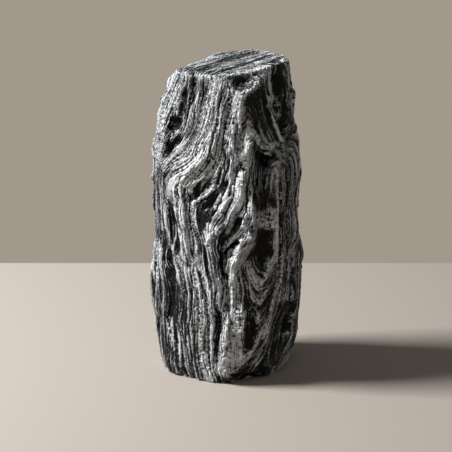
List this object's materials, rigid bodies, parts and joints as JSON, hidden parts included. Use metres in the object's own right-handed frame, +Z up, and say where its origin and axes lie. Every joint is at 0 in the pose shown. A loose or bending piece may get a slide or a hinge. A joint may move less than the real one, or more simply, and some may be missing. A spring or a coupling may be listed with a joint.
{
  "type": "gneiss monolith",
  "caption": "Tall upright block of banded, folded gneiss with a broken sloping top, fluted sides along its layers and a flat foot.",
  "frame": {"origin": "middle of the stone's box on the plane of its flat foot", "axes": "+Z up along the stone's height, +X to the right as its main face is seen, +Y towards its back, so that the main face looks along -Y"},
  "size_m": [0.1514, 0.1274, 0.2999],
  "materials": {
    "gneiss": "rough split rock with light quartz bands between dark mica bands, glinting in places"
  },
  "bodies": {
    "root": {"gneiss_monolith": "gneiss"}
  },
  "joints": []
}
